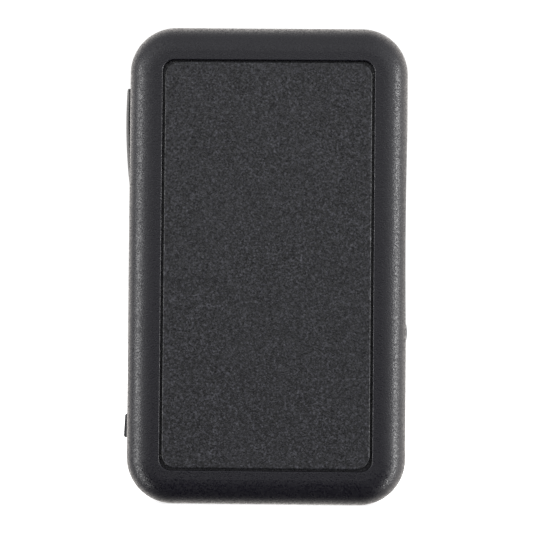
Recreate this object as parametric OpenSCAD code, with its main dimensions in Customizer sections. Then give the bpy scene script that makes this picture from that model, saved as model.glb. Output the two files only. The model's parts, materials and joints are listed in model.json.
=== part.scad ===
// Pocket geiger counter: a two-shell handheld case with an inset rear plate, a display and
// three keys on the front, a port flap and a slide switch on one side and a small key on the
// other. A glass counting tube, its high-voltage supply and a lithium cell sit on one board.
//
// Millimetres. The case stands upright: +Z runs up its length, X is its width and Y its depth.
// The front (display) faces -Y and the rear plate faces +Y. The origin is the centre of the base.

/* [Case] */
// Width of the case
case_w = 64; // [64:1:70]
// Height of the case
case_h = 109.5; // [109:0.5:120]
// Depth of the case, front to back
case_d = 25; // [25:0.5:28]
// Corner radius of the outline seen from the back
corner_r = 10.6; // [10:0.1:12]
// Radius of the long rounded edge around the back
rear_edge_r = 6; // [5:0.5:6.5]
// Radius of the rounded edge around the front
front_edge_r = 4; // [3.5:0.5:4.5]
// Wall thickness of both shells
wall = 2; // [1.8:0.1:2.2]

/* [Rear plate] */
// Width of the case's rim on each side of the recess that holds the plate
side_rim = 7.85; // [7.45:0.05:8.2]
// Width of the rim above and below the recess
end_rim = 8; // [7.5:0.1:8.4]
// Depth of the recess
recess_depth = 1.4; // [1:0.1:1.6]
// Gap between the plate and the recess on each side
plate_gap = 0.55; // [0.4:0.05:0.7]

/* [Port flap] */
// Length of the flap over the ports
flap_len = 23.9; // [23:0.1:24.5]
// Width of the flap
flap_w = 8.6; // [8.2:0.1:9]
// Distance from the top of the case down to the flap
flap_drop = 13.5; // [13:0.1:14.5]
// How far the flap's free end stands out of the case side
flap_lift = 1.3; // [1.1:0.05:1.4]
// How far the flap's hinged end stands out of the case side
flap_root = 0.4; // [0.2:0.05:0.5]
// How much the flap bows out between its ends
flap_bow = 0.58; // [0.5:0.02:0.64]
// How much the flap bulges across its width
flap_crown = 0.85; // [0.6:0.05:0.9]

/* [Controls] */
// Travel of the slide switch
slider_travel = 3; // [2:0.1:3]
// How far the slide knob stands out of the case side
slider_proud = 1.25; // [0.8:0.05:1.4]
// Travel of the keys
key_travel = 0.4; // [0.2:0.1:0.5]
// How far the front keys stand out of the front face
key_proud = 0.6; // [0.5:0.1:1]
// How far the side key stands out past the full width of the case
side_key_proud = 0.5; // [0:0.05:0.6]

/* [Counting tube] */
// Outer diameter of the tube's metal end caps
tube_d = 10; // [9:0.1:10]
// Overall length of the tube
tube_len = 89; // [80:1:90]

/* [Hidden] */
$fn = 72;
eps = 0.01;
fit_gap = 0.3;

// Case faces and the plane where the two shells meet
side_x = case_w / 2;
back_y = case_d / 2;
front_y = -case_d / 2;
inner_side_x = side_x - wall;
inner_front_y = front_y + wall;
parting_y = front_y + 6;
seam_half = 0.15;
seam_depth = 0.3;
lip_h = 1;
lip_inset = 1;
lip_gap = 0.1;

// Rear recess, its floor and the rear plate
recess_w = case_w - 2 * side_rim;
recess_h = case_h - 2 * end_rim;
recess_z = case_h / 2;
recess_floor_y = back_y - recess_depth;
recess_r = 2.6;
recess_mouth_r = 0.3;
plate_r = 3.2;
plate_edge_r = 0.3;
adhesive_t = 0.15;
recess_floor_t = 1.6;
rear_floor_y = recess_floor_y - recess_floor_t;

// Circuit board
pcb_t = 1.6;
pcb_front_y = front_y + 8;
pcb_rear_y = pcb_front_y + pcb_t;
pcb_w = case_w - 7;
pcb_h = case_h - 9;
pcb_edge_x = pcb_w / 2;

// Case screws, driven from under the rear plate
screw_x = recess_w / 2 - 3.7;
screw_low_z = end_rim + 3.8;
screw_high_z = case_h - screw_low_z;
screw_r = 1.2;
screw_head_r = 2.3;
screw_head_t = 1.6;
screw_seat_y = recess_floor_y - 4;
screw_len = 16.5;
column_r = 3.7;
boss_r = 3.2;

// Front panel: window and display, keys, status light and sound slots
window_w = 44;
window_h = 31;
window_z = case_h - 31.5;
window_r = 2;
window_t = 1.1;
window_border = 2.5;
window_gap = 0.2;
mouth_r = 0.3;
window_pocket = 1.3;
window_back_y = front_y + window_pocket - adhesive_t;
display_w = 42;
display_h = 29.6;
display_t = 1.6;
display_y = inner_front_y + 0.3;
backlight_t = 1.8;
backlight_y = display_y + display_t + backlight_t;
frame_rim = 1.5;
keys_z = 49;
keys_x = 17;
key_w = 12;
key_h = 7;
key_r = 3.4;
key_edge_r = 0.4;
round_key_r = 5.5;
light_z = case_h - 10;
light_pipe_r = 1.2;
light_gap = 0.05;
slots_z = 27;
slot_count = 5;
slot_pitch = 3;
slot_w = 14;
slot_h = 1.4;

// Tactile switches under the keys
switch_size = 6;
switch_h = 3.5;
plunger_r = 1.7;
plunger_out = 0.7;
plunger_in = 1.5;
key_stem_y = pcb_front_y - switch_h - plunger_out;
key_flange = 1;
key_flange_t = 1;
key_flange_y = inner_front_y + 0.2;

// Ports on the +X side, under the flap
port_mouth_x = side_x - 1.4;
usb_len = 7.3;
usb_w = 8.94;
usb_h = 3.2;
usb_wall = 0.3;
usb_back_wall = 1.5;
usb_y = pcb_rear_y + usb_h / 2;
usb_z = case_h - 20;
jack_size = [11.3, 5, 6];
jack_bore_r = 1.8;
jack_collar_r = 2.2;
jack_bore_len = 11;
jack_y = pcb_rear_y + jack_size[1] / 2;
jack_z = case_h - 30.7;

// Flap: closed position, bowed outer face and hinge line
flap_y = (usb_y + jack_y) / 2;
flap_top_z = case_h - flap_drop;
flap_low_z = flap_top_z - flap_len;
pocket_floor_x = side_x - 1.2;
pocket_gap = 0.25;
flap_back_x = pocket_floor_x + 0.2;
flap_lip_x = side_x + 0.42;
flap_neck = 0.7;
neck_w = flap_w - 2 * flap_neck;
neck_r = 1.3;
hinge_x = side_x - 0.6;
hinge_z = flap_low_z + 0.6;
hinge_r = 0.6;
hinge_room = side_x - hinge_x + flap_root + pocket_gap;
lip_low_z = hinge_z + 0.8;

// Slide switch and its knob, low on the +X side
slider_z = 17.4;
slider_len = 5.5;
slider_w = 3;
slider_y = pcb_rear_y + 1.8;
slider_slot_w = slider_w + 2 * fit_gap;
slider_slot_len = slider_len + slider_travel + 1;
slider_slot_z = slider_z + slider_travel / 2;
slider_slot_r = 0.8;
slider_flange_x = inner_side_x - 1;
slider_flange_t = 0.7;
power_switch_x = slider_flange_x - 0.4;
lever_half_w = 0.9;
lever_half_h = 0.8;

// Small key on the -X side, at the low end of a shallow finger scallop
side_key_z = 39.6;
side_key_len = 4.9;
side_key_w = 3.6;
side_key_travel = 0.3;
side_key_y = pcb_rear_y + 1.75;
scallop_depth = 0.38;
scallop_low_z = 35;
scallop_high_z = case_h - 22;
side_key_r = side_key_w / 2 - 0.2;
side_key_gap = 0.2;
side_hole_w = side_key_w + 2 * side_key_gap;
side_hole_len = side_key_len + 2 * side_key_gap;
side_flange_x = fit_gap - inner_side_x;
side_flange_t = 0.7;
side_stem_x = 1.1 - inner_side_x;
side_switch_x = 1.8 - inner_side_x;
side_plunger_r = 0.9;
side_plunger_in = 1;

// Counting tube beside the lithium cell, behind the board
tube_x = -10.5;
tube_y = pcb_rear_y + 6.5;
tube_z = 11.5;
tube_r = tube_d / 2;
cap_len = 5;
cap_wall = 0.4;
cap_end_t = 1;
glass_r = tube_r - cap_wall;
glass_wall = 0.8;
clip_t = 0.5;
clip_w = 3;
clip_zs = [tube_z + 2.5, tube_z + tube_len - 2.5];

// Step-up transformer: its core, the windows in it and the winding round the middle leg
winding_t = 0.8;
winding_gap = 0.1;
transformer_low = [-28, pcb_rear_y + winding_t + 2 * winding_gap, 50];
transformer_size = [10, 7, 10];
core_side = 1.5;
core_end = 1.8;
core_leg = 2.4;
window_size = transformer_size[0] / 2 - core_leg / 2 - core_side;

// Lithium cell, its leads and the socket they plug into
cell_size = [25, 8, 52];
cell_x = 8.2;
cell_z = 20;
cell_pad_t = 1;
socket_x = 9;
socket_z = cell_z + cell_size[2] + 1.5;
lead_y = pcb_rear_y + 3.2;
plug_half_w = 2.6;
plug_h = 2.6;

// Colours
case_black = [0.13, 0.13, 0.14];
plate_black = [0.17, 0.17, 0.18];
key_grey = [0.35, 0.35, 0.37];
rubber_black = [0.08, 0.08, 0.08];
board_green = [0.05, 0.32, 0.16];
metal = [0.75, 0.75, 0.77];
dark_plastic = [0.1, 0.1, 0.1];
ceramic_tan = [0.75, 0.6, 0.35];

// ---- Construction helpers ----

// Extrudes an outline drawn in X and Z from depth y0 to depth y1.
module between_y(y0, y1) {
    translate([0, y1, 0]) rotate([90, 0, 0]) linear_extrude(y1 - y0) children();
}

// Extrudes an outline drawn in Y and Z from x0 to x1.
module between_x(x0, x1) {
    translate([x0, 0, 0]) rotate([90, 0, 90]) linear_extrude(x1 - x0) children();
}

// Round rod or bore along Y.
module rod_y(r, y0, y1) {
    translate([0, y1, 0]) rotate([90, 0, 0]) cylinder(h = y1 - y0, r = r);
}

// Round rod or bore along X.
module rod_x(r, x0, x1) {
    translate([x0, 0, 0]) rotate([0, 90, 0]) cylinder(h = x1 - x0, r = r);
}

// Box between two opposite corners.
module block(low, high) {
    translate(low) cube(high - low);
}

// Quarter of a disc, in the first quadrant.
module quarter_disc(r) {
    intersection() {
        circle(r);
        square(r);
    }
}

// Rectangle with round corners, centred on the origin.
module rounded_rect(w, h, r) {
    square([w - 2 * r, h], center = true);
    for (side = [0, 180]) rotate(side) {
        translate([w / 2 - r, r - h / 2]) square([r, h - 2 * r]);
        translate([w / 2 - r, h / 2 - r]) quarter_disc(r);
        translate([r - w / 2, h / 2 - r]) mirror([1, 0]) quarter_disc(r);
    }
}

// Section through a slab's edge between depths y0 and y1, with its edges rounded. It runs from
// the corner's centre at x = 0 out to the reach, and is drawn with the front at +y.
module slab_profile(reach, y0, y1, front_r, back_r) {
    translate([0, back_r - y1]) square([reach, y1 - y0 - front_r - back_r]);
    if (front_r > 0) {
        translate([0, -y0 - front_r]) square([reach - front_r, front_r]);
        translate([reach - front_r, -y0 - front_r]) quarter_disc(front_r);
    }
    if (back_r > 0) {
        translate([0, -y1]) square([reach - back_r, back_r]);
        translate([reach - back_r, back_r - y1]) mirror([0, 1]) quarter_disc(back_r);
    }
}

// Section through a cut from the face at +y down to the floor, with its mouth rounded outward.
module mouth_profile(reach, face, floor, mouth_r) {
    past = 1;
    crossing = 0.03;
    translate([0, floor]) square([reach, face + past - floor]);
    difference() {
        translate([reach - eps, face - mouth_r]) square([mouth_r + eps, mouth_r + past]);
        translate([reach + mouth_r, face - mouth_r + crossing]) circle(mouth_r);
    }
}

// Block of a w x h outline in X and Z, centred on the origin, between depths y0 and y1. Its edge
// section is the child, which goes round all four corners and along all four sides.
module framed_block(w, h, r, y0, y1) {
    across = w / 2 - r;
    up = h / 2 - r;
    corners = [[across, up], [-across, up], [-across, -up], [across, -up]];
    rotate([90, 0, 0]) {
        for (k = [0:3]) translate(corners[k]) rotate(90 * k) rotate_extrude(angle = 90) children();
        for (side = [0, 180]) rotate(side) {
            translate([across, up, 0]) rotate([90, 0, 0]) linear_extrude(2 * up) children();
            translate([-across, up, 0]) rotate([90, 0, 90]) linear_extrude(2 * across) children();
        }
        block([-across, -up, -y1], [across, up, -y0]);
    }
}

// Cut of a w x h outline into the front face, down to the floor, with its mouth rounded.
module front_cut(w, h, r, floor_y, mouth_r) {
    framed_block(w, h, r, front_y - 1, floor_y) mouth_profile(r, -front_y, -floor_y, mouth_r);
}

// Repeats its children at the four case screws.
module at_screws() {
    for (x = [-screw_x, screw_x], z = [screw_low_z, screw_high_z]) translate([x, 0, z]) children();
}

// ---- Case ----

// Outline of the case seen from the back, drawn in X and Z, moved in by inset.
module case_outline(inset) {
    translate([0, case_h / 2]) rounded_rect(case_w - 2 * inset, case_h - 2 * inset, corner_r - inset);
}

// The whole case as one solid block with all its edges rounded, moved in by inset.
module case_block(inset) {
    y0 = front_y + inset;
    y1 = back_y - inset;
    r = corner_r - inset;
    translate([0, 0, case_h / 2]) framed_block(case_w - 2 * inset, case_h - 2 * inset, r, y0, y1)
        slab_profile(r, y0, y1, front_edge_r - inset, rear_edge_r - inset);
}

// Half of the hollow case, between two depths.
module case_half(y0, y1) {
    intersection() {
        difference() {
            case_block(0);
            case_block(wall);
        }
        block([-case_w, y0, -1], [case_w, y1, case_h + 1]);
    }
}

// Shallow groove around the case where the shells meet.
module seam_groove() {
    between_y(parting_y - seam_half, parting_y + seam_half) difference() {
        case_outline(-1);
        case_outline(seam_depth);
    }
}

// Shallow scallop for the finger along the -X side, cut by one large round.
module finger_scallop() {
    span = scallop_high_z - scallop_low_z;
    scallop_r = scallop_depth / 2 + span * span / (8 * scallop_depth);
    translate([scallop_depth - side_x - scallop_r, front_y - 1, (scallop_low_z + scallop_high_z) / 2])
        rotate([-90, 0, 0]) cylinder(h = case_d + 2, r = scallop_r, $fn = 1440);
}

// Sound slots in front of the buzzer.
module sound_slots() {
    for (k = [0:slot_count - 1]) translate([0, slots_z + (k - (slot_count - 1) / 2) * slot_pitch])
        rounded_rect(slot_w, slot_h, slot_h / 2 - eps);
}

// Front half of the case, with the bosses that carry the board and take the screws.
module front_shell() {
    pilot_r = 1.3;
    color(case_black) difference() {
        union() {
            difference() {
                case_half(front_y - 1, parting_y);
                between_y(parting_y - lip_h - lip_gap, parting_y + 1) case_outline(lip_inset);
                seam_groove();
                finger_scallop();
            }
            at_screws() rod_y(boss_r, inner_front_y - 0.5, pcb_front_y);
        }
        at_screws() rod_y(pilot_r, inner_front_y + 0.5, pcb_front_y + 1);
        translate([0, 0, window_z]) front_cut(
            window_w + 2 * window_gap, window_h + 2 * window_gap, window_r + window_gap,
            front_y + window_pocket, mouth_r
        );
        between_y(front_y - 1, inner_front_y + 1) translate([0, window_z])
            rounded_rect(window_w - 2 * window_border, window_h - 2 * window_border, window_r);
        for (x = [-keys_x, keys_x]) translate([x, 0, keys_z])
            front_cut(
                key_w + 2 * fit_gap, key_h + 2 * fit_gap, key_r + fit_gap,
                inner_front_y + 1, mouth_r
            );
        translate([0, 0, keys_z]) rotate([90, 0, 0]) rotate_extrude()
            mouth_profile(round_key_r + fit_gap, -front_y, -inner_front_y - 1, mouth_r);
        between_y(front_y - 1, inner_front_y + 1) sound_slots();
        translate([0, 0, light_z]) rod_y(light_pipe_r + light_gap, front_y - 1, inner_front_y + 1);
    }
}

// Opening for the USB connector and the round opening for the jack, through the +X wall.
module port_openings() {
    opening_gap = 0.3;
    jack_hole_r = jack_collar_r + 0.2;
    between_x(inner_side_x - 1, side_x) translate([usb_y, usb_z])
        rounded_rect(usb_h + 2 * opening_gap, usb_w + 2 * opening_gap, usb_h / 2);
    translate([0, jack_y, jack_z]) rod_x(jack_hole_r, inner_side_x - 1, side_x);
}

// Outline of the flap's neck in Y and Z, square at the hinge and round at the free end.
module neck_outline(gap) {
    top = flap_top_z - flap_neck + gap;
    w = neck_w + 2 * gap;
    translate([flap_y, (hinge_z + top) / 2]) {
        rounded_rect(w, top - hinge_z, neck_r + gap);
        translate([0, (hinge_z - top) / 4]) square([w, (top - hinge_z) / 2], center = true);
    }
}

// Pocket in the +X side that the closed flap lies in, with a round trough at the hinge.
module flap_pocket() {
    half = neck_w / 2 + pocket_gap;
    trough_r = hinge_r + pocket_gap;
    between_x(pocket_floor_x, side_x + 1) neck_outline(pocket_gap);
    block(
        [hinge_x - pocket_gap, flap_y - half, hinge_z - hinge_room],
        [side_x + 1, flap_y + half, hinge_z + 1]
    );
    translate([hinge_x, flap_y - half, hinge_z]) rotate([-90, 0, 0]) cylinder(h = 2 * half, r = trough_r);
}

// Rear half of the case, with the recess for the rear plate and the screw columns.
module rear_shell() {
    screw_hole_r = 1.4;
    head_hole_r = screw_head_r + 0.2;
    pad_margin = 1.8;
    color(case_black) difference() {
        union() {
            case_half(parting_y, back_y + 1);
            between_y(parting_y - lip_h, parting_y + wall) difference() {
                case_outline(lip_inset + lip_gap);
                case_outline(wall);
            }
            between_y(rear_floor_y, back_y - wall + eps) translate([0, recess_z])
                rounded_rect(recess_w + 2 * pad_margin, recess_h + 2 * pad_margin, recess_r + pad_margin);
            at_screws() rod_y(column_r, pcb_rear_y, rear_floor_y + 0.5);
        }
        seam_groove();
        finger_scallop();
        translate([0, 0, recess_z]) framed_block(recess_w, recess_h, recess_r, recess_floor_y, back_y + 1)
            mirror([0, 1]) mouth_profile(recess_r, back_y, recess_floor_y, recess_mouth_r);
        at_screws() rod_y(screw_hole_r, pcb_rear_y - 1, back_y);
        at_screws() rod_y(head_hole_r, screw_seat_y, back_y);
        flap_pocket();
        port_openings();
        between_x(inner_side_x - 1, side_x + 1) translate([slider_y, slider_slot_z])
            rounded_rect(slider_slot_w, slider_slot_len, slider_slot_r);
        between_x(-side_x - 1, 1 - inner_side_x) translate([side_key_y, side_key_z])
            rounded_rect(side_hole_w, side_hole_len, side_key_r + side_key_gap);
    }
}

// Textured plate that lies in the recess and hides the screws.
module rear_plate() {
    y0 = recess_floor_y + adhesive_t;
    color(plate_black) translate([0, 0, recess_z])
        framed_block(recess_w - 2 * plate_gap, recess_h - 2 * plate_gap, plate_r, y0, back_y)
            slab_profile(plate_r, y0, back_y, 0, plate_edge_r);
}

// Double-sided film that holds the rear plate, cut out around the screw heads.
module plate_adhesive() {
    film_inset = 2;
    screw_cutout_r = screw_head_r + 0.6;
    color("white") difference() {
        between_y(recess_floor_y, recess_floor_y + adhesive_t) translate([0, recess_z])
            rounded_rect(recess_w - 2 * film_inset, recess_h - 2 * film_inset, plate_r);
        at_screws() rod_y(screw_cutout_r, recess_floor_y - 1, back_y);
    }
}

// The four screws that hold the shells together.
module case_screws() {
    drive_r = 0.9;
    drive_depth = 0.9;
    color(metal) at_screws() difference() {
        union() {
            rod_y(screw_head_r, screw_seat_y, screw_seat_y + screw_head_t);
            rod_y(screw_r, screw_seat_y - screw_len, screw_seat_y + eps);
        }
        translate([0, screw_seat_y + screw_head_t + eps, 0]) rotate([90, 0, 0])
            cylinder(h = drive_depth, r = drive_r, $fn = 6);
    }
}

// ---- Display ----

// Clear window over the display.
module display_window() {
    color([0.1, 0.12, 0.14, 0.6]) between_y(window_back_y - window_t, window_back_y)
        translate([0, window_z]) rounded_rect(window_w, window_h, window_r);
}

// Adhesive ring that seals the window.
module window_gasket() {
    outer_inset = 0.2;
    inner_inset = window_border - 0.4;
    color(rubber_black) between_y(window_back_y, window_back_y + adhesive_t)
        translate([0, window_z]) difference() {
            rounded_rect(window_w - 2 * outer_inset, window_h - 2 * outer_inset, window_r);
            rounded_rect(window_w - 2 * inner_inset, window_h - 2 * inner_inset, window_r);
        }
}

// Glass of the liquid crystal display.
module display_glass() {
    color([0.2, 0.23, 0.22]) between_y(display_y, display_y + display_t)
        translate([0, window_z]) square([display_w, display_h], center = true);
}

// Light guide behind the display glass.
module display_backlight() {
    color("white") between_y(display_y + display_t, backlight_y)
        translate([0, window_z]) rounded_rect(display_w - 1, display_h - 1, 1);
}

// Frame that holds the display on the board.
module display_frame() {
    fit = 0.2;
    back_opening = 8;
    color(dark_plastic) difference() {
        between_y(display_y + fit_gap, pcb_front_y) translate([0, window_z])
            rounded_rect(display_w + 2 * frame_rim, display_h + 2 * frame_rim, 1);
        between_y(front_y, backlight_y) translate([0, window_z])
            square([display_w + fit, display_h + fit], center = true);
        between_y(front_y, pcb_front_y + 1) translate([0, window_z])
            square([display_w - back_opening, display_h - back_opening], center = true);
    }
}

// Flat ribbon from the display down to its connector on the board.
module display_ribbon() {
    half_w = 8;
    ribbon_t = 0.3;
    socket_half_w = 9;
    socket_h = 4;
    socket_t = 1.2;
    top_z = window_z - display_h / 2 - frame_rim;
    low_z = top_z - ribbon_t;
    color("orange") {
        block([-half_w, display_y + 1, low_z], [half_w, pcb_front_y, top_z]);
        block(
            [-socket_half_w, pcb_front_y - socket_t, top_z - socket_h],
            [socket_half_w, pcb_front_y, low_z]
        );
    }
}

// ---- Front keys ----

// Retaining flange and stem behind a key, with its outline as the child.
module key_back() {
    between_y(key_flange_y, key_flange_y + key_flange_t) children();
    rod_y(plunger_r + 0.5, key_flange_y, key_stem_y);
}

// Oblong key cap with its flange and stem.
module oblong_key() {
    y0 = front_y - key_proud;
    y1 = key_flange_y + eps;
    framed_block(key_w, key_h, key_r, y0, y1) slab_profile(key_r, y0, y1, key_edge_r, 0);
    key_back() rounded_rect(key_w + 2 * key_flange, key_h + 2 * key_flange, key_r + key_flange);
}

// Left key.
module menu_key() {
    color(key_grey) translate([-keys_x, 0, keys_z]) oblong_key();
}

// Round key in the middle.
module select_key() {
    color(key_grey) translate([0, 0, keys_z]) {
        rotate([90, 0, 0]) rotate_extrude()
            slab_profile(round_key_r, front_y - key_proud, key_flange_y + eps, key_edge_r, 0);
        key_back() circle(round_key_r + key_flange);
    }
}

// Right key.
module scroll_key() {
    color(key_grey) translate([keys_x, 0, keys_z]) oblong_key();
}

// Sprung plunger of one tactile switch.
module key_plunger(x) {
    color(dark_plastic) translate([x, 0, keys_z])
        rod_y(plunger_r, key_stem_y, key_stem_y + plunger_out + plunger_in);
}

module menu_plunger() { key_plunger(-keys_x); }
module select_plunger() { key_plunger(0); }
module scroll_plunger() { key_plunger(keys_x); }

// Bodies of the three tactile switches on the front of the board.
module key_switches() {
    half = switch_size / 2;
    top_y = pcb_front_y - switch_h;
    bore_depth = plunger_in + key_travel + 0.4;
    color(metal) for (x = [-keys_x, 0, keys_x]) translate([x, 0, keys_z]) difference() {
        block([-half, top_y, -half], [half, pcb_front_y, half]);
        rod_y(plunger_r + 0.1, top_y - 1, top_y + bore_depth);
    }
}

// ---- Status light and sound ----

// Clear pipe that carries the status light to the front face.
module light_pipe() {
    collar_r = 2;
    color([0.8, 0.9, 0.8, 0.6]) translate([0, 0, light_z]) {
        rod_y(light_pipe_r, front_y - 0.1, pcb_front_y - 2);
        rod_y(collar_r, inner_front_y, inner_front_y + 1);
    }
}

// Status light on the board.
module status_led() {
    led = [3, 1.4, 2];
    color("green") translate([-led[0] / 2, pcb_front_y - led[1], light_z - led[2] / 2]) cube(led);
}

// Dust mesh behind the sound slots.
module speaker_mesh() {
    mesh_t = 0.25;
    margin = 1.5;
    color([0.25, 0.25, 0.25]) between_y(inner_front_y, inner_front_y + mesh_t) translate([0, slots_z])
        rounded_rect(slot_w + 2 * margin, slot_pitch * slot_count + 2 * margin, margin);
}

// Piezo buzzer behind the mesh.
module buzzer() {
    buzzer_r = 6.5;
    port_r = 1.2;
    color(dark_plastic) translate([0, 0, slots_z]) difference() {
        rod_y(buzzer_r, inner_front_y + 0.6, pcb_front_y);
        rod_y(port_r, inner_front_y, inner_front_y + 3);
    }
}

// ---- Board ----

// The circuit board, clamped between the front bosses and the rear columns.
module main_board() {
    board_r = 7;
    screw_clearance = 1.5;
    color(board_green) difference() {
        between_y(pcb_front_y, pcb_rear_y) translate([0, case_h / 2]) rounded_rect(pcb_w, pcb_h, board_r);
        at_screws() rod_y(screw_clearance, pcb_front_y - 1, pcb_rear_y + 1);
    }
}

// Small chip resistors and capacitors on the rear of the board.
module board_passives() {
    chip = [1.6, 0.6, 0.9];
    column_pitch = 2.6;
    row_pitch = 2.2;
    first = [-2, pcb_rear_y, 79];
    color(ceramic_tan) for (column = [0:2], row = [0:5])
        translate(first + [column * column_pitch, 0, row * row_pitch]) cube(chip);
}

// Microcontroller in a flat square package.
module microcontroller() {
    package = [10, 1.4, 10];
    corner = [6.5, pcb_rear_y, case_h - 27];
    color(dark_plastic) translate(corner) cube(package);
}

// Clock crystal in its metal can.
module clock_crystal() {
    can_l = 10;
    can_w = 4;
    can_h = 3;
    color(metal) between_y(pcb_rear_y, pcb_rear_y + can_h) translate([11.5, case_h - 13])
        rounded_rect(can_l, can_w, can_w / 2 - 0.1);
}

// Charger and voltage regulator chips.
module power_chips() {
    package = [4, 1.5, 5];
    charger_z = 31;
    regulator_z = 62;
    color(dark_plastic) for (z = [charger_z, regulator_z]) translate([23.5, pcb_rear_y, z]) cube(package);
}

// ---- Ports and flap ----

// Solid bounded by the flap's outer face, which bows along its length and bulges across its width.
module flap_face() {
    rise = flap_lift - flap_root;
    span = sqrt(flap_len * flap_len + rise * rise);
    bow_r = flap_bow / 2 + span * span / (8 * flap_bow);
    crown_r = flap_crown / 2 + flap_w * flap_w / (8 * flap_crown);
    tilt = atan(rise / flap_len);
    centre_x = side_x + (flap_lift + flap_root) / 2 - (bow_r - flap_bow) * cos(tilt);
    centre_z = (flap_low_z + flap_top_z) / 2 + (bow_r - flap_bow) * sin(tilt);
    core_r = bow_r - 2;
    translate([centre_x, flap_y, centre_z]) rotate([90, 0, 0]) rotate_extrude($fn = 720) {
        translate([0, -flap_w]) square([core_r, 2 * flap_w]);
        intersection() {
            translate([bow_r - crown_r, 0]) circle(crown_r, $fn = 360);
            translate([core_r - eps, -flap_w / 2 - 1]) square([3, flap_w + 2]);
        }
    }
}

// Room inside the flap's free end, which is rounded towards the case.
module flap_end() {
    end_r = 0.9;
    slack = 0.06;
    reach = side_x + flap_lift + slack;
    low_x = flap_back_x - 1;
    low_z = flap_low_z - 1;
    translate([0, flap_y, 0]) rotate([90, 0, 0]) linear_extrude(2 * flap_w, center = true) {
        translate([low_x, low_z]) square([side_x + 3 - low_x, flap_top_z - end_r - low_z]);
        translate([low_x, low_z]) square([reach - end_r - low_x, flap_top_z - low_z]);
        translate([reach - end_r, flap_top_z - end_r]) circle(end_r);
    }
}

// Soft flap over the ports, with a stub that plugs the USB mouth. It turns on the round root at
// its lower end.
module port_flap() {
    corner = 2;
    stub_h = 1.9;
    stub_w = 7.2;
    stub_depth = 1;
    color(rubber_black) {
        intersection() {
            union() {
                between_x(flap_back_x, side_x + 2) neck_outline(0);
                between_x(flap_lip_x, side_x + 2) translate([flap_y, (lip_low_z + flap_top_z) / 2])
                    rounded_rect(flap_w, flap_top_z - lip_low_z, corner);
            }
            flap_face();
            flap_end();
        }
        translate([hinge_x, flap_y - neck_w / 2, hinge_z]) rotate([-90, 0, 0])
            cylinder(h = neck_w, r = hinge_r);
        between_x(port_mouth_x - stub_depth, flap_back_x + eps) translate([usb_y, usb_z])
            rounded_rect(stub_h, stub_w, stub_h / 2 - 0.05);
    }
}

// Steel shell of the USB connector, open towards +X.
module usb_port() {
    color(metal) difference() {
        between_x(port_mouth_x - usb_len, port_mouth_x) translate([usb_y, usb_z])
            rounded_rect(usb_h, usb_w, usb_h / 2 - eps);
        between_x(port_mouth_x - usb_len + usb_back_wall, port_mouth_x + 1) translate([usb_y, usb_z])
            rounded_rect(usb_h - 2 * usb_wall, usb_w - 2 * usb_wall, usb_h / 2 - usb_wall - eps);
    }
}

// Contact tongue inside the USB connector.
module usb_tongue() {
    half_t = 0.35;
    half_w = 3.3;
    set_back = 1.4;
    color(dark_plastic) block(
        [port_mouth_x - usb_len + usb_back_wall, usb_y - half_t, usb_z - half_w],
        [port_mouth_x - set_back, usb_y + half_t, usb_z + half_w]
    );
}

// 3.5 mm jack for the pulse output, with a round collar in the wall's opening.
module audio_jack() {
    body_x = inner_side_x - 0.1;
    low = [body_x - jack_size[0], pcb_rear_y, jack_z - jack_size[2] / 2];
    color(dark_plastic) difference() {
        union() {
            translate(low) cube(jack_size);
            translate([0, jack_y, jack_z]) rod_x(jack_collar_r, body_x - 1, port_mouth_x);
        }
        translate([0, jack_y, jack_z]) rod_x(jack_bore_r, port_mouth_x - jack_bore_len, port_mouth_x + 1);
    }
}

// ---- Slide switch ----

// Knob of the slide switch, with a flange that closes the slot from inside.
module slider_knob() {
    low_z = slider_z - slider_len / 2;
    high_z = slider_z + slider_len / 2;
    flange_h = slider_len + 2 * slider_travel + 2;
    flange_w = slider_slot_w + 2;
    low_x = side_x + slider_proud;
    high_x = side_x + 0.8 * slider_proud;
    chamfer = 0.3;
    grip_pitch = 1.3;
    grip_r = 0.3;
    grip_w = slider_w - 1.2;
    color(rubber_black) difference() {
        union() {
            between_x(slider_flange_x, slider_flange_x + slider_flange_t) translate([slider_y, slider_z])
                square([flange_w, flange_h], center = true);
            between_y(slider_y - slider_w / 2, slider_y + slider_w / 2) polygon([
                [slider_flange_x, low_z],
                [low_x - chamfer, low_z],
                [low_x, low_z + chamfer],
                [high_x, high_z - chamfer],
                [high_x - chamfer, high_z],
                [slider_flange_x, high_z]
            ]);
        }
        for (k = [-1:1]) translate([low_x, slider_y, slider_z + k * grip_pitch])
            rotate([90, 0, 0]) cylinder(h = grip_w, r = grip_r, center = true);
    }
}

// Lever of the slide switch, carried by the knob.
module switch_lever() {
    lever_in = 1.6;
    color(dark_plastic) block(
        [power_switch_x - lever_in, slider_y - lever_half_w, slider_z - lever_half_h],
        [slider_flange_x, slider_y + lever_half_w, slider_z + lever_half_h]
    );
}

// Body of the slide switch on the board.
module power_switch() {
    depth = 3.8;
    half_w = 1.8;
    end = 2.9;
    slot_depth = 2;
    slot_half_w = lever_half_w + fit_gap;
    slot_end = lever_half_h + 0.4;
    color(metal) difference() {
        block(
            [power_switch_x - depth, slider_y - half_w, slider_z - end],
            [power_switch_x, slider_y + half_w, slider_z + slider_travel + end]
        );
        block(
            [power_switch_x - slot_depth, slider_y - slot_half_w, slider_z - slot_end],
            [power_switch_x + 1, slider_y + slot_half_w, slider_z + slider_travel + slot_end]
        );
    }
}

// ---- Side key ----

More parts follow.
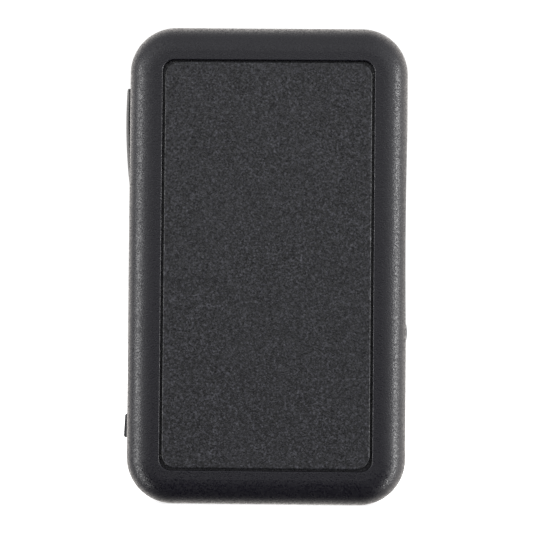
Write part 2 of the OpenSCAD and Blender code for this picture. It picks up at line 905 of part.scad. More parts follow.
// Small key on the -X side, with a domed face and a flange that keeps it behind the wall.
module side_key() {
    flange_w = side_key_w + 1.6;
    flange_h = side_key_len + 2;
    stem_r = 1.2;
    face_r = 12;
    color(rubber_black) translate([0, side_key_y, side_key_z]) {
        intersection() {
            between_x(-side_x - side_key_proud, side_flange_x + eps)
                rounded_rect(side_key_w, side_key_len, side_key_r);
            translate([face_r - side_x - side_key_proud, 0, 0]) rotate([90, 0, 0])
                cylinder(h = 2 * side_key_w, r = face_r, center = true, $fn = 360);
        }
        between_x(side_flange_x, side_flange_x + side_flange_t) square([flange_w, flange_h], center = true);
        rod_x(stem_r, side_flange_x + side_flange_t - eps, side_stem_x);
    }
}

// Plunger of the switch behind the side key.
module side_plunger() {
    color(dark_plastic) translate([0, side_key_y, side_key_z])
        rod_x(side_plunger_r, side_stem_x, side_switch_x + side_plunger_in);
}

// Switch behind the side key.
module side_switch() {
    depth = 2.3;
    half_w = 1.75;
    half_h = 2.5;
    bore_depth = side_plunger_in + side_key_travel + 0.3;
    color(metal) translate([0, side_key_y, side_key_z]) difference() {
        block([side_switch_x, -half_w, -half_h], [side_switch_x + depth, half_w, half_h]);
        rod_x(side_plunger_r + 0.1, side_switch_x - 1, side_switch_x + bore_depth);
    }
}

// ---- Counting tube ----

// Moves its children to the foot of the tube's axis.
module on_tube_axis() {
    translate([tube_x, tube_y, tube_z]) children();
}

// Glass envelope of the counting tube.
module tube_glass() {
    color([0.7, 0.8, 0.85, 0.4]) on_tube_axis() translate([0, 0, cap_end_t]) difference() {
        cylinder(h = tube_len - 2 * cap_end_t, r = glass_r);
        translate([0, 0, -1]) cylinder(h = tube_len, r = glass_r - glass_wall);
    }
}

// Conductive liner inside the glass.
module tube_cathode() {
    end = cap_len + 1;
    liner_r = glass_r - glass_wall - 0.05;
    liner_t = 0.3;
    color([0.5, 0.5, 0.5]) on_tube_axis() translate([0, 0, end]) difference() {
        cylinder(h = tube_len - 2 * end, r = liner_r);
        translate([0, 0, -1]) cylinder(h = tube_len, r = liner_r - liner_t);
    }
}

// Wire along the tube's axis.
module tube_anode() {
    wire_r = 0.3;
    wire_l = tube_len - 2 * cap_end_t;
    color(metal) on_tube_axis() translate([0, 0, cap_end_t]) cylinder(h = wire_l, r = wire_r);
}

// Metal caps on both ends of the glass.
module tube_caps() {
    color(metal) on_tube_axis() for (end = [0, 1]) translate([0, 0, end * tube_len]) mirror([0, 0, end])
        difference() {
            cylinder(h = cap_len, r = tube_r);
            translate([0, 0, cap_end_t]) cylinder(h = cap_len, r = glass_r);
        }
}

// Spring clips that hold the caps and carry the tube on the board.
module tube_clips() {
    foot_w = 5;
    mouth_w = 6;
    grip_gap = 0.03;
    color([0.8, 0.65, 0.3]) for (z = clip_zs) translate([tube_x, tube_y, z - clip_w / 2]) difference() {
        union() {
            cylinder(h = clip_w, r = tube_r + clip_t);
            translate([-foot_w / 2, pcb_rear_y - tube_y, 0]) cube([foot_w, tube_y - pcb_rear_y, clip_w]);
        }
        translate([0, 0, -1]) cylinder(h = clip_w + 2, r = tube_r + grip_gap);
        translate([-mouth_w / 2, 0, -1]) cube([mouth_w, 2 * tube_r, clip_w + 2]);
    }
}

// ---- High-voltage supply ----

// Ferrite core with two windows around its middle leg.
module transformer_core() {
    color([0.25, 0.25, 0.27]) translate(transformer_low) difference() {
        cube(transformer_size);
        for (x = [core_side, transformer_size[0] / 2 + core_leg / 2]) translate([x, -1, core_end])
            cube([window_size, transformer_size[1] + 2, transformer_size[2] - 2 * core_end]);
    }
}

// Winding around the middle leg.
module transformer_coil() {
    hole = [core_leg / 2 + winding_gap, transformer_size[1] / 2 + winding_gap];
    outside = [core_leg / 2 + 2, hole[1] + winding_t];
    height = transformer_size[2] - 2 * core_end - 2 * winding_gap;
    foot = [transformer_size[0] / 2, transformer_size[1] / 2, core_end + winding_gap];
    color([0.7, 0.4, 0.2]) translate(transformer_low + foot) linear_extrude(height) difference() {
        square(2 * outside, center = true);
        square(2 * hole, center = true);
    }
}

// High-voltage disc capacitors of the multiplier.
module hv_capacitors() {
    disc_r = 3.2;
    disc_t = 2.4;
    pitch = 5;
    first = [-23, pcb_rear_y + disc_r, 66];
    color(ceramic_tan) for (k = [0:2]) translate(first + [0, 0, k * pitch])
        cylinder(h = disc_t, r = disc_r);
}

// Diodes of the multiplier.
module hv_diodes() {
    package = [4.5, 2, 2.4];
    pitch = 4;
    first = [-25.5, pcb_rear_y, 82];
    color(dark_plastic) for (k = [0:2]) translate(first + [0, 0, k * pitch]) cube(package);
}

// High-value resistor in series with the anode.
module anode_resistor() {
    body_r = 1.3;
    body_l = 9;
    foot = [-20, pcb_rear_y + body_r + 0.1, 24];
    color([0.4, 0.55, 0.7]) translate(foot) cylinder(h = body_l, r = body_r);
}

// ---- Power ----

// Lithium cell.
module battery_cell() {
    color([0.7, 0.72, 0.75]) translate([cell_x, pcb_rear_y + cell_pad_t + cell_size[1] / 2, cell_z])
        linear_extrude(cell_size[2]) rounded_rect(cell_size[0], cell_size[1], 2.5);
}

// Foam tape between the cell and the board.
module battery_pad() {
    half_w = 10;
    end = 3;
    color([0.2, 0.2, 0.2]) block(
        [cell_x - half_w, pcb_rear_y, cell_z + end],
        [cell_x + half_w, pcb_rear_y + cell_pad_t, cell_z + cell_size[2] - end]
    );
}

// Two leads from the cell to its plug.
module battery_leads() {
    lead_r = 0.5;
    cell_top = cell_z + cell_size[2];
    color("red") for (x = [socket_x - 1, socket_x + 1]) translate([x, lead_y, cell_top])
        cylinder(h = socket_z - cell_top, r = lead_r);
}

// Plug on the leads.
module battery_plug() {
    color("white") block(
        [socket_x - plug_half_w, lead_y - 1, socket_z],
        [socket_x + plug_half_w, lead_y + 1, socket_z + plug_h]
    );
}

// Socket on the board that takes the plug.
module battery_socket() {
    half_w = 3.5;
    low_z = socket_z + 0.6;
    height = 4.8;
    gap = 0.1;
    inner_half_w = plug_half_w + gap;
    color([0.9, 0.9, 0.85]) difference() {
        block([socket_x - half_w, pcb_rear_y, low_z], [socket_x + half_w, lead_y + 2, low_z + height]);
        block(
            [socket_x - inner_half_w, lead_y - 1 - gap, socket_z],
            [socket_x + inner_half_w, lead_y + 1 + gap, socket_z + plug_h + gap]
        );
    }
}

front_shell();
rear_shell();
rear_plate();
plate_adhesive();
case_screws();
display_window();
window_gasket();
display_glass();
display_backlight();
display_frame();
display_ribbon();
menu_key();
select_key();
scroll_key();
menu_plunger();
select_plunger();
scroll_plunger();
key_switches();
light_pipe();
status_led();
speaker_mesh();
buzzer();
main_board();
board_passives();
microcontroller();
clock_crystal();
power_chips();
port_flap();
usb_port();
usb_tongue();
audio_jack();
slider_knob();
switch_lever();
power_switch();
side_key();
side_plunger();
side_switch();
tube_glass();
tube_cathode();
tube_anode();
tube_caps();
tube_clips();
transformer_core();
transformer_coil();
hv_capacitors();
hv_diodes();
anode_resistor();
battery_cell();
battery_pad();
battery_leads();
battery_plug();
battery_socket();
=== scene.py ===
"""Pocket geiger counter seen from its back: studio, camera, materials and fine detail on the CAD frame."""
import json
import math

import bmesh
import bpy
from mathutils import Matrix, Vector


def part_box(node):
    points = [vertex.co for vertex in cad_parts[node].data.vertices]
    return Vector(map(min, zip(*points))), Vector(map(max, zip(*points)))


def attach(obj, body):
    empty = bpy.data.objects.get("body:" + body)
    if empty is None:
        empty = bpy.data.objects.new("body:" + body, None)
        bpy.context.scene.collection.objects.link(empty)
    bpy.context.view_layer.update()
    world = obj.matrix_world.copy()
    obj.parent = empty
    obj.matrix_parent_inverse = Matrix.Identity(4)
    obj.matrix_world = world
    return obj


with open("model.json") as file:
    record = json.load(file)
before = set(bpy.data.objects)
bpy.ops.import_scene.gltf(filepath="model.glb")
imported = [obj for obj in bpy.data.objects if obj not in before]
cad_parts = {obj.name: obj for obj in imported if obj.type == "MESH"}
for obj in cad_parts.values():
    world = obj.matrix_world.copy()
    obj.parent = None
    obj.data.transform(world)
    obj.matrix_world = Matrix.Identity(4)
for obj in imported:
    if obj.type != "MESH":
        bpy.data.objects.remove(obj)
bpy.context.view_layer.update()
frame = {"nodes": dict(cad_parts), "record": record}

MM = 0.001
NODES = frame["nodes"]
PLATE_LOW, PLATE_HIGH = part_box("rear_plate")
CASE_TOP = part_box("rear_shell")[1].z
CASE_MID = Vector((0, 0, CASE_TOP / 2))


# ---- Camera, floor, backdrop and light ----

VIEW_WIDTH = 124.55 * MM     # what the picture spans across at the case
CAMERA_DISTANCE = 450 * MM
CAMERA_DROP = 1.5            # degrees below square-on
CAMERA_SIDE = 0.8            # degrees towards the -X side
CAMERA_ROLL = 0.5
CAMERA_OFFSET = 0.32 * MM    # what the camera aims at lies this far towards +X from the case's middle
SENSOR = 36.0                # width of the camera's sensor, mm
SOFTBOX_DISTANCE = 0.6       # from the case's middle to a softbox's
SOFTBOX_DROP = 0.2           # how far a softbox's middle lies under the case's
SOFTBOX_HEIGHT = 0.85
ROOM_LIGHT = 0.7             # strength of the room's light from above the camera
SIDE_LIGHT = 1.8             # twice the strength of the room's light halfway round to each side
WALL_LIGHT = 2.0             # strength of the light from the wall behind the case
WALL_LIGHT_LOW = 1.0         # the same straight below
PAPER_LIGHT = 1.1            # what the camera sees past the floor
FLOOR_GLOW = 0.75            # strength of the floor's own light
FLOOR_HALF = 3.0             # half the floor's width
FLOOR_DROP = 0.02 * MM       # how far the floor lies under the case
GROOVE_REACH = 0.6           # how far the groove reaches past the rear plate's edge, mm
GROOVE_MID = 0.85            # how far the middle of the groove's lower part lies under the plate's face, mm
GROOVE_HALF = 0.6            # half the depth of that part, mm


def make_camera():
    """Long lens behind the case, nearly square to the rear plate."""
    data = bpy.data.cameras.new("camera")
    data.sensor_width = SENSOR
    data.lens = SENSOR * CAMERA_DISTANCE / VIEW_WIDTH
    data.clip_start = 10 * MM
    data.clip_end = 20
    camera = bpy.data.objects.new("camera", data)
    bpy.context.collection.objects.link(camera)
    down = math.radians(CAMERA_DROP)
    side = math.radians(CAMERA_SIDE)
    back = Vector((-math.sin(side) * math.cos(down), math.cos(side) * math.cos(down), -math.sin(down)))
    turn = (-back).to_track_quat("-Z", "Y").to_matrix().to_4x4()
    roll = Matrix.Rotation(math.radians(CAMERA_ROLL), 4, "Z")
    target = CASE_MID + Vector((CAMERA_OFFSET, 0, 0))
    camera.matrix_world = Matrix.Translation(target + back * CAMERA_DISTANCE) @ turn @ roll
    bpy.context.scene.camera = camera


class Tree:
    """A node tree, with a short way to add a node and fill its sockets with values or links."""

    def __init__(self, owner):
        owner.use_nodes = True
        self.tree = owner.node_tree
        self.tree.nodes.clear()

    def node(self, kind, sockets=None, **settings):
        made = self.tree.nodes.new("ShaderNode" + kind)
        for key, value in settings.items():
            setattr(made, key, value)
        for name, value in (sockets or {}).items():
            if isinstance(value, bpy.types.NodeSocket):
                self.tree.links.new(value, made.inputs[name])
            else:
                made.inputs[name].default_value = value
        return made

    def place(self):
        return self.node("TexCoord").outputs["Object"]

    def stretched(self, x, y, z):
        """Object coordinates scaled along each axis, for grain that runs one way."""
        return self.node("Mapping", {"Vector": self.place(), "Scale": (x, y, z)}).outputs[0]

    def noise(self, size, detail=2.0, rough=0.5, vector=None):
        """Cloudy noise whose features are about size mm across."""
        sockets = {"Vector": vector or self.place(), "Scale": 1 / (size * MM)}
        return self.node("TexNoise", {**sockets, "Detail": detail, "Roughness": rough}).outputs[0]

    def cells(self, size, vector=None):
        """Distance from scattered cell centres size mm apart."""
        sockets = {"Vector": vector or self.place(), "Scale": 1 / (size * MM)}
        return self.node("TexVoronoi", sockets).outputs["Distance"]

    def grains(self, size):
        """A random value for each of the cells size mm apart."""
        sockets = {"Vector": self.place(), "Scale": 1 / (size * MM)}
        return self.node("TexVoronoi", sockets).outputs["Color"]

    def span(self, value, low, high, to_low=0.0, to_high=1.0, kind="SMOOTHSTEP"):
        """Value moved from the range low to high into the range to_low to to_high, and kept inside it."""
        sockets = {"Value": value, "From Min": low, "From Max": high, "To Min": to_low, "To Max": to_high}
        return self.node("MapRange", sockets, interpolation_type=kind).outputs[0]

    def maths(self, operation, a, b=0.0):
        return self.node("Math", {0: a, 1: b}, operation=operation).outputs[0]

    def tint(self, factor, a, b):
        """Colour that runs from a to b as the factor goes from 0 to 1."""
        sockets = {"Factor": factor}
        for name, value in (("A", a), ("B", b)):
            sockets[name] = value if isinstance(value, bpy.types.NodeSocket) else (*value, 1)
        return self.node("Mix", sockets, data_type="RGBA").outputs["Result"]

    def bump(self, height, depth):
        """Normal of a relief so many mm deep."""
        return self.node("Bump", {"Height": height, "Strength": 1.0, "Distance": depth * MM}).outputs[0]

    def edges(self, radius):
        """1 along sharp edges of the mesh, fading to 0 about radius mm away."""
        rounded = self.node("Bevel", {"Radius": radius * MM}, samples=4).outputs[0]
        flat = self.node("NewGeometry").outputs["Normal"]
        dot = self.node("VectorMath", {0: rounded, 1: flat}, operation="DOT_PRODUCT").outputs["Value"]
        return self.span(dot, 0.995, 0.9, 0.0, 1.0)

    def finish(self, shader, owner="Material"):
        out = self.node("OutputMaterial" if owner == "Material" else "OutputWorld")
        self.tree.links.new(shader.outputs[0], out.inputs["Surface"])


def make_world():
    """Bright wall behind the case and dimmer room on the camera's side, darkest low down."""
    world = bpy.data.worlds.new("studio")
    bpy.context.scene.world = world
    tree = Tree(world)
    way = tree.node("TexCoord").outputs["Generated"]
    split = tree.node("SeparateXYZ", {0: way})
    x, y, z = (split.outputs[axis] for axis in "XYZ")

    # The room gets brighter from just below level upwards, and halfway round to each side.
    ahead = tree.span(z, -0.12, 0.18, 0.0, ROOM_LIGHT, "LINEAR")
    corners = tree.maths("MAXIMUM", tree.maths("MULTIPLY", tree.maths("ABSOLUTE", x), y), 0.0)
    level = tree.span(z, -0.35, 0.08, 0.0, SIDE_LIGHT)
    room = tree.maths("ADD", ahead, tree.maths("MULTIPLY", level, corners))

    # The wall starts behind the case, a little further forward on the -X side and away from level.
    lean = tree.maths("MULTIPLY", tree.maths("MINIMUM", x, 0.0), 0.3)
    rise = tree.maths("MULTIPLY", tree.maths("ABSOLUTE", z), -0.12)
    wall = tree.span(tree.maths("ADD", y, tree.maths("ADD", lean, rise)), -0.14, -0.75)
    glow = tree.span(z, -1.0, -0.3, WALL_LIGHT_LOW, WALL_LIGHT)

    strength = tree.node("Mix", {"Factor": wall, "A": room, "B": glow}, data_type="FLOAT").outputs["Result"]
    tone = tree.tint(wall, (0.97, 0.98, 1.0), (1.0, 0.96, 0.92))
    lit = tree.node("Background", {"Color": tone, "Strength": strength})
    paper = tree.node("Background", {"Color": (1, 1, 1, 1), "Strength": PAPER_LIGHT})
    seen = tree.node("LightPath").outputs["Is Camera Ray"]
    tree.finish(tree.node("MixShader", {0: seen, 1: lit.outputs[0], 2: paper.outputs[0]}), "World")


def make_floor():
    """Pale floor that the case stands on, lit from below like a light table so that it stays white."""
    mesh = bpy.data.meshes.new("floor")
    corners = [(x * FLOOR_HALF, y * FLOOR_HALF, 0) for x, y in ((-1, -1), (1, -1), (1, 1), (-1, 1))]
    mesh.from_pydata(corners, [], [(0, 1, 2, 3)])
    floor = bpy.data.objects.new("floor", mesh)
    bpy.context.collection.objects.link(floor)
    material = bpy.data.materials.new("floor_paper")
    tree = Tree(material)
    mottle = tree.tint(tree.noise(30, 3), (0.84, 0.84, 0.84), (0.87, 0.87, 0.87))
    paper = tree.node("BsdfDiffuse", {"Color": mottle})
    glow = tree.node("Emission", {"Strength": FLOOR_GLOW})
    tree.finish(tree.node("AddShader", {0: paper.outputs[0], 1: glow.outputs[0]}))
    mesh.materials.append(material)
    floor.location.z = -FLOOR_DROP
    floor.visible_diffuse = False
    floor.visible_glossy = False
    floor.visible_transmission = False
    floor.visible_shadow = False


def make_softbox(name, angle, width, power):
    """Tall softbox that faces the case, at so many degrees round Z from the camera's side (+Y) towards +X."""
    data = bpy.data.lights.new(name, "AREA")
    data.shape = "RECTANGLE"
    data.size = width
    data.size_y = SOFTBOX_HEIGHT
    data.energy = power
    light = bpy.data.objects.new(name, data)
    bpy.context.collection.objects.link(light)
    turn = math.radians(angle)
    away = Vector((math.sin(turn), math.cos(turn), 0))
    facing = away.to_track_quat("Z", "Y").to_matrix().to_4x4()
    middle = CASE_MID + away * SOFTBOX_DISTANCE - Vector((0, 0, SOFTBOX_DROP))
    light.matrix_world = Matrix.Translation(middle) @ facing


# ---- Materials ----

def dust_in_groove(tree):
    """1 on scattered flecks of dust low in the groove round the rear plate, 0 elsewhere."""
    middle = (PLATE_LOW + PLATE_HIGH) / 2
    half = (PLATE_HIGH - PLATE_LOW) / 2
    split = tree.node("SeparateXYZ", {0: tree.place()})
    across = tree.maths("ABSOLUTE", tree.maths("SUBTRACT", split.outputs["X"], middle.x))
    up = tree.maths("ABSOLUTE", tree.maths("SUBTRACT", split.outputs["Z"], middle.z))
    reach = GROOVE_REACH * MM
    inside = tree.maths("MULTIPLY", tree.maths("LESS_THAN", across, half.x + reach),
                        tree.maths("LESS_THAN", up, half.z + reach))
    under = tree.maths("SUBTRACT", PLATE_HIGH.y - GROOVE_MID * MM, split.outputs["Y"])
    low = tree.maths("LESS_THAN", tree.maths("ABSOLUTE", under), GROOVE_HALF * MM)
    flecks = tree.span(tree.cells(2.2), 0.1, 0.06)
    return tree.maths("MULTIPLY", tree.maths("MULTIPLY", inside, low), flecks)


def moulded(name, colour, grain, depth, speckle_and_glints, roughness=0.48, wear=0.35, glitter=0.1, spread=0.07,
            dusty=False):
    """Moulded plastic with a spark-eroded skin: uneven colour and relief, grains of uneven shine and polished
    edges.
    Scattered bright flecks in the colour are painted glint.

    Grain is the size of the skin's features and depth that of its relief, both in mm. Speckle sets how much
    the grains' colour varies and how bright the painted glint flecks are; glitter and spread are how much the
    grains' shine and roughness vary."""
    material = bpy.data.materials.new(name)
    tree = Tree(material)
    level = tree.maths("POWER", tree.span(tree.noise(grain, 1.0), 0.2, 0.8, kind="LINEAR"), 3.0)
    dark = [c * (1 - 0.6 * speckle_and_glints) for c in colour]
    light = [c * (1 + 4 * speckle_and_glints) for c in colour]
    skin = tree.tint(level, dark, light)
    aged = tree.tint(tree.span(tree.noise(9), 0.3, 0.7, 0.0, 0.25), skin, [c * 1.25 for c in colour])
    rubbed = tree.maths("MULTIPLY", tree.edges(0.25), wear)
    worn = tree.tint(rubbed, aged, [min(1, c * 3 + 0.02) for c in colour])
    # Painted glint: small bright flecks in cloudy patches, painted into the colour in place of light caught
    # by the grains.
    patches = tree.span(tree.noise(5), 0.45, 0.65, 0.0, speckle_and_glints)
    painted_glints = tree.maths("MULTIPLY", tree.span(tree.cells(2.6), 0.06, 0.02), patches)
    surface = tree.tint(painted_glints, worn, [min(1, c * 4 + 0.02) for c in colour])
    if dusty:
        surface = tree.tint(dust_in_groove(tree), surface, (0.3, 0.29, 0.27))
    grains = tree.grains(0.8 * grain)
    shine = tree.span(grains, 0.0, 1.0, 0.5 + 2 * glitter, 0.5 - 2 * glitter, "LINEAR")
    gloss = tree.span(grains, 0.1, 0.9, roughness - spread, roughness + spread, "LINEAR")
    relief = tree.bump(tree.noise(0.65 * grain, 0.0), depth)
    sockets = {"Base Color": surface, "Roughness": gloss, "Specular IOR Level": shine, "Normal": relief}
    tree.finish(tree.node("BsdfPrincipled", {**sockets, "IOR": 1.5}))
    return material


def metal(name, colour, roughness=0.28, grain=(1, 1, 14)):
    """Bright metal with fine drawn lines, handling marks and duller patches."""
    material = bpy.data.materials.new(name)
    tree = Tree(material)
    lines = tree.noise(0.6, 3.0, 0.6, tree.stretched(*grain))
    cloud = tree.noise(2.5, 2.0)
    shade = tree.tint(tree.span(cloud, 0.3, 0.75), colour, [c * 0.78 for c in colour])
    gloss = tree.span(lines, 0.25, 0.75, roughness - 0.08, roughness + 0.12)
    relief = tree.bump(lines, 0.004)
    sockets = {"Base Color": shade, "Metallic": 1.0, "Roughness": gloss, "Normal": relief}
    tree.finish(tree.node("BsdfPrincipled", sockets))
    return material


def clear(name, colour, roughness, smear=0.05):
    """Clear glass or plastic with faint smears in its polish."""
    material = bpy.data.materials.new(name)
    tree = Tree(material)
    gloss = tree.span(tree.noise(6, 3.0), 0.45, 0.8, roughness, roughness + smear)
    tone = tree.tint(tree.noise(14, 1.0), colour, [c * 0.96 for c in colour])
    sockets = {"Base Color": tone, "Roughness": gloss, "Transmission Weight": 1.0, "IOR": 1.49}
    tree.finish(tree.node("BsdfPrincipled", sockets))
    return material


def glossy(name, colour, roughness, patch=1.5, contrast=0.18, depth=0.006):
    """Smooth plastic, enamel or film with slight waviness and uneven colour."""
    material = bpy.data.materials.new(name)
    tree = Tree(material)
    cloud = tree.noise(patch, 3.0, 0.55)
    tone = tree.tint(tree.span(cloud, 0.3, 0.7), [c * (1 - contrast) for c in colour], colour)
    gloss = tree.span(cloud, 0.3, 0.7, roughness, roughness + 0.12)
    relief = tree.bump(cloud, depth)
    tree.finish(tree.node("BsdfPrincipled", {"Base Color": tone, "Roughness": gloss, "Normal": relief}))
    return material


def circuit(name, mask, copper):
    """Solder mask with raised tracks and plated vias under it."""
    material = bpy.data.materials.new(name)
    tree = Tree(material)
    flat = tree.stretched(1, 0, 1)
    tracks = tree.node("TexBrick", {
        "Vector": tree.node("Mapping", {"Vector": flat, "Rotation": (math.radians(90), 0, 0)}).outputs[0],
        "Scale": 1 / (6 * MM), "Mortar Size": 0.045, "Brick Width": 0.9, "Row Height": 0.27,
    }, offset=0.37).outputs["Fac"]
    vias = tree.span(tree.cells(4.2, vector=flat), 0.1, 0.07)
    raised = tree.tint(tracks, mask, [c * 1.7 for c in mask])
    tone = tree.tint(vias, raised, copper)
    relief = tree.bump(tree.maths("MAXIMUM", tracks, vias), 0.04)
    gloss = tree.span(tree.noise(1.2, 3.0), 0.3, 0.7, 0.28, 0.42)
    tree.finish(tree.node("BsdfPrincipled", {"Base Color": tone, "Roughness": gloss, "Normal": relief}))
    return material


def wound(name, colour):
    """Enamelled wire wound in close turns round the vertical axis, with painted shade darkening the colour
    between the turns.
    """
    material = bpy.data.materials.new(name)
    tree = Tree(material)
    turns = tree.node("TexWave", {"Vector": tree.place(), "Scale": 1 / (1.3 * MM), "Distortion": 0.4},
                      wave_type="BANDS", bands_direction="Z").outputs["Fac"]
    # Painted shade: the colour darkens to a third of itself in the hollows between the turns.
    tone = tree.tint(turns, [c * 0.35 for c in colour], colour)
    relief = tree.bump(turns, 0.12)
    gloss = tree.span(tree.noise(0.8), 0.3, 0.7, 0.22, 0.4)
    sockets = {"Base Color": tone, "Metallic": 0.7, "Roughness": gloss, "Normal": relief}
    tree.finish(tree.node("BsdfPrincipled", sockets))
    return material


def foamed(name, colour):
    """Closed-cell foam, darker in each cell's hollow as painted shade."""
    material = bpy.data.materials.new(name)
    tree = Tree(material)
    cells = tree.cells(0.35)
    # Painted shade: the colour darkens to 0.4 of itself towards each cell's middle, where the relief dips.
    tone = tree.tint(tree.span(cells, 0.2, 0.7), [c * 0.4 for c in colour], colour)
    gloss = tree.span(tree.noise(0.7), 0.3, 0.7, 0.8, 0.95)
    sockets = {"Base Color": tone, "Roughness": gloss, "Normal": tree.bump(cells, 0.12)}
    tree.finish(tree.node("BsdfPrincipled", sockets))
    return material


def woven(name, colour):
    """Fine black mesh: two sets of threads with holes between them, the holes painted near-black as shade."""
    material = bpy.data.materials.new(name)
    tree = Tree(material)
    threads = []
    for direction in ("X", "Z"):
        threads.append(tree.node("TexWave", {"Vector": tree.place(), "Scale": 1 / (2.2 * MM)},
                                 wave_type="BANDS", bands_direction=direction).outputs["Fac"])
    cloth = tree.maths("MAXIMUM", *threads)
    # Painted shade: the holes between the threads are coloured a tenth as bright as the threads.
    tone = tree.tint(tree.span(cloth, 0.55, 0.85), [c * 0.1 for c in colour], colour)
    gloss = tree.span(tree.noise(0.5), 0.3, 0.7, 0.45, 0.65)
    sockets = {"Base Color": tone, "Roughness": gloss, "Normal": tree.bump(cloth, 0.1)}
    tree.finish(tree.node("BsdfPrincipled", sockets))
    return material


def display_panel(name, colour):
    """Liquid crystal glass: grey-green polariser with faint cell columns."""
    material = bpy.data.materials.new(name)
    tree = Tree(material)
    grid = tree.node("TexWave", {"Vector": tree.place(), "Scale": 1 / (1.1 * MM)},
                     wave_type="BANDS", bands_direction="X").outputs["Fac"]
    tone = tree.tint(tree.maths("MULTIPLY", grid, 0.25), colour, [c * 0.8 for c in colour])
    gloss = tree.span(tree.noise(5, 3.0), 0.3, 0.7, 0.22, 0.34)
    tree.finish(tree.node("BsdfPrincipled", {"Base Color": tone, "Roughness": gloss}))
    return material


def make_materials():
    """One material for each material slot in the record."""
    case = {"grain": 0.34, "depth": 0.04, "speckle_and_glints": 0.15, "roughness": 0.38, "glitter": 0.06, "spread": 0.2}
    plate = {"grain": 0.44, "depth": 0.055, "speckle_and_glints": 1.3, "roughness": 0.46, "glitter": 0.16, "wear": 0.3}
    key = {"grain": 0.35, "depth": 0.006, "speckle_and_glints": 0.12, "roughness": 0.42}
    rubber = {"grain": 0.3, "depth": 0.006, "speckle_and_glints": 0.15, "roughness": 0.6, "wear": 0.2}
    inner = {"grain": 0.25, "depth": 0.01, "speckle_and_glints": 0.25, "roughness": 0.4}
    core = {"grain": 0.2, "depth": 0.03, "speckle_and_glints": 0.4, "roughness": 0.6}
    return {
        "case_plastic": moulded("case_plastic", (0.0066, 0.006, 0.0094), **case, dusty=True),
        "plate_plastic": moulded("plate_plastic", (0.0125, 0.0125, 0.0148), **plate),
        "key_plastic": moulded("key_plastic", (0.05, 0.05, 0.052), **key),
        "soft_rubber": moulded("soft_rubber", (0.04, 0.04, 0.041), **rubber),
        "window_clear": clear("window_clear", (0.5, 0.54, 0.56), 0.0, smear=0.03),
        "clear_plastic": clear("clear_plastic", (0.9, 0.95, 0.92), 0.08),
        "display_grey": display_panel("display_grey", (0.2, 0.23, 0.2)),
        "white_plastic": glossy("white_plastic", (0.8, 0.8, 0.77), 0.4, patch=3.0, contrast=0.06),
        "black_plastic": moulded("black_plastic", (0.022, 0.022, 0.023), **inner),
        "steel": metal("steel", (0.62, 0.62, 0.64)),
        "brass": metal("brass", (0.78, 0.6, 0.3), 0.25),
        "copper": wound("copper", (0.75, 0.36, 0.18)),
        "board": circuit("board", mask=(0.012, 0.12, 0.05), copper=(0.75, 0.6, 0.3)),
        "ceramic": glossy("ceramic", (0.6, 0.4, 0.18), 0.3, patch=0.9, contrast=0.3),
        "ferrite": moulded("ferrite", (0.07, 0.07, 0.075), **core),
        "tube_glass": clear("tube_glass", (0.93, 0.97, 0.98), 0.02),
        "foil": metal("foil", (0.72, 0.73, 0.75), 0.34, grain=(1, 1, 1)),
        "foam": foamed("foam", (0.05, 0.05, 0.05)),
        "film": glossy("film", (0.6, 0.6, 0.54), 0.3, patch=2.0, contrast=0.12),
        "red_wire": glossy("red_wire", (0.5, 0.03, 0.02), 0.35, patch=0.6, contrast=0.25),
        "ribbon": glossy("ribbon", (0.6, 0.3, 0.05), 0.3, patch=0.5, contrast=0.3),
    }


def dress_nodes(materials):
    """Gives every CAD node the material of its slot, and the speaker's mesh a weave."""
    for part in frame["record"]["subparts"]:
        mesh = NODES[part["node"]].data
        mesh.materials.clear()
        mesh.materials.append(materials[part["material_slot"]])
    NODES["speaker_mesh"].data.materials[0] = woven("mesh_cloth", (0.05, 0.05, 0.052))


def soften_edges(name, radius):
    """Rounds a node's sharp edges."""
    node = NODES[name]
    weld = node.modifiers.new("weld", "WELD")
    weld.merge_threshold = 0.001 * MM
    bevel = node.modifiers.new("round", "BEVEL")
    bevel.width = radius * MM
    bevel.segments = 3
    bevel.limit_method = "ANGLE"
    bevel.angle_limit = math.radians(40)
    bevel.use_clamp_overlap = True
    bevel.harden_normals = True


# ---- Printed marks on the front ----

def bar(start, end, width, steps=6):
    """Outline of a bar with round ends between two points in X and Z, in mm."""
    ax, az = start
    bx, bz = end
    heading = math.atan2(bz - az, bx - ax)
    outline = []
    for centre_x, centre_z, first in ((bx, bz, heading - math.pi / 2), (ax, az, heading + math.pi / 2)):
        for k in range(steps + 1):
            angle = first + math.pi * k / steps
            outline.append((centre_x + width / 2 * math.cos(angle), centre_z + width / 2 * math.sin(angle)))
    return outline


def open_ring(centre, radius, width, gap, steps=28):
    """Outline of a ring with a gap of so many degrees at its top."""
    start = math.radians(90 + gap / 2)
    sweep = math.radians(360 - gap)
    angles = [start + sweep * k / steps for k in range(steps + 1)]
    outer = [(radius + width / 2, a) for a in angles]
    inner = [(radius - width / 2, a) for a in reversed(angles)]
    return [(centre[0] + r * math.cos(a), centre[1] + r * math.sin(a)) for r, a in outer + inner]


def segment(start, end, width):
    """Outline of one display segment, pointed at both ends."""
    ax, az = start
    bx, bz = end
    length = math.hypot(bx - ax, bz - az)
    ux, uz = (bx - ax) / length, (bz - az) / length
    half = width / 2
    gap = 0.12
    inset = half + gap
    near = (ax + ux * gap, az + uz * gap)
    far = (bx - ux * gap, bz - uz * gap)
    shoulders = [(ax + ux * inset, az + uz * inset), (bx - ux * inset, bz - uz * inset)]
    left = [(x - uz * half, z + ux * half) for x, z in shoulders]
    right = [(x + uz * half, z - ux * half) for x, z in reversed(shoulders)]
    return [near, *left, far, *right]


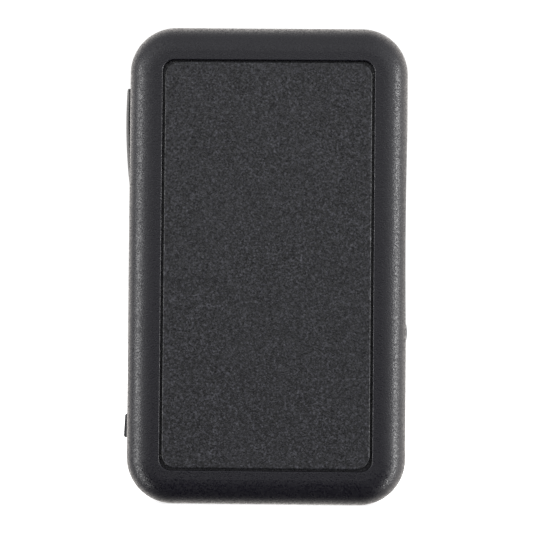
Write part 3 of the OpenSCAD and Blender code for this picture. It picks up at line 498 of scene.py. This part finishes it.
def digit(x, z, wide, tall, width):
    """The seven segments of a digit whose lower left corner is at x, z."""
    corners = {(i, j): (x + i * wide, z + j * tall / 2) for i in (0, 1) for j in (0, 1, 2)}
    joins = [((0, 0), (1, 0)), ((0, 1), (1, 1)), ((0, 2), (1, 2)),
             ((0, 0), (0, 1)), ((0, 1), (0, 2)), ((1, 0), (1, 1)), ((1, 1), (1, 2))]
    return [segment(corners[a], corners[b], width) for a, b in joins]


def printed(name, outlines, face_y, proud, material, body):
    """Thin shapes printed on a face that looks towards -Y: outlines in X and Z in mm, the rest in metres."""
    shape = bmesh.new()
    for outline in outlines:
        rings = []
        for y in (face_y - proud, face_y + proud):
            rings.append([shape.verts.new((x * MM, y, z * MM)) for x, z in outline])
        shape.faces.new(rings[0])
        shape.faces.new(list(reversed(rings[1])))
        for k in range(len(outline)):
            after = (k + 1) % len(outline)
            shape.faces.new((rings[0][after], rings[0][k], rings[1][k], rings[1][after]))
    bmesh.ops.recalc_face_normals(shape, faces=shape.faces)
    mesh = bpy.data.meshes.new(name)
    shape.to_mesh(mesh)
    shape.free()
    mesh.materials.append(material)
    piece = bpy.data.objects.new(name, mesh)
    bpy.context.collection.objects.link(piece)
    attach(piece, body)


def centre_of(node):
    """Middle of a node in X and Z, in mm, and the y of its face towards -Y, in metres."""
    low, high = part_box(node)
    return (low.x + high.x) / 2 / MM, (low.z + high.z) / 2 / MM, low.y


def make_key_marks():
    """Generic marks on the keys: a list, an open ring with a stroke, and up and down arrows."""
    ink = glossy("key_ink", (0.62, 0.62, 0.6), 0.5, 0.4, 0.2, 0.002)
    proud = 0.01 * MM
    stroke = 0.45
    x, z, y = centre_of("menu_key")
    lines = [bar((x - 1.7, z + dz), (x + 1.7, z + dz), stroke) for dz in (-1.3, 0, 1.3)]
    printed("menu_mark", lines, y, proud, ink, "menu")
    x, z, y = centre_of("select_key")
    ring = [open_ring((x, z), 1.9, stroke, 50), bar((x, z + 0.4), (x, z + 2.3), stroke)]
    printed("select_mark", ring, y, proud, ink, "select")
    x, z, y = centre_of("scroll_key")
    arrows = [[(x - 1.2, z + s * 0.6), (x + 1.2, z + s * 0.6), (x, z + s * 2.1)] for s in (1, -1)]
    printed("scroll_mark", arrows, y, proud, ink, "scroll")


def make_display_segments():
    """Unlit segments of the display: four digits, a decimal point and a bar graph."""
    ghost = glossy("display_segments", (0.11, 0.13, 0.11), 0.3, 1.5, 0.2, 0.001)
    x, z, y = centre_of("display_glass")
    wide, tall, pitch, stroke = 4.6, 9.4, 6.6, 0.9
    shapes = []
    for k in range(4):
        shapes += digit(x - 12.6 + k * pitch, z - 1.5, wide, tall, stroke)
    shapes.append(bar((x + 6.2, z - 1.4), (x + 6.25, z - 1.4), stroke))
    foot = z - 8.6
    bar_pitch, bar_width = 1.55, 1.0
    for k in range(20):
        left = x - 15.2 + k * bar_pitch
        right = left + bar_width
        top = foot + 1.2 + 0.12 * k
        shapes.append([(left, foot), (right, foot), (right, top), (left, top)])
    printed("display_segments", shapes, y - 0.02 * MM, 0.01 * MM, ghost, "case")


bpy.context.scene.view_settings.view_transform = "Standard"
make_camera()
make_world()
make_floor()
make_softbox("softbox_left", angle=72, width=0.24, power=3.7)
make_softbox("softbox_right", angle=-73, width=0.16, power=4.6)
dress_nodes(make_materials())
make_key_marks()
make_display_segments()
for node_name, edge in (("port_flap", 0.25), ("slider_knob", 0.12), ("side_key", 0.1)):
    soften_edges(node_name, edge)
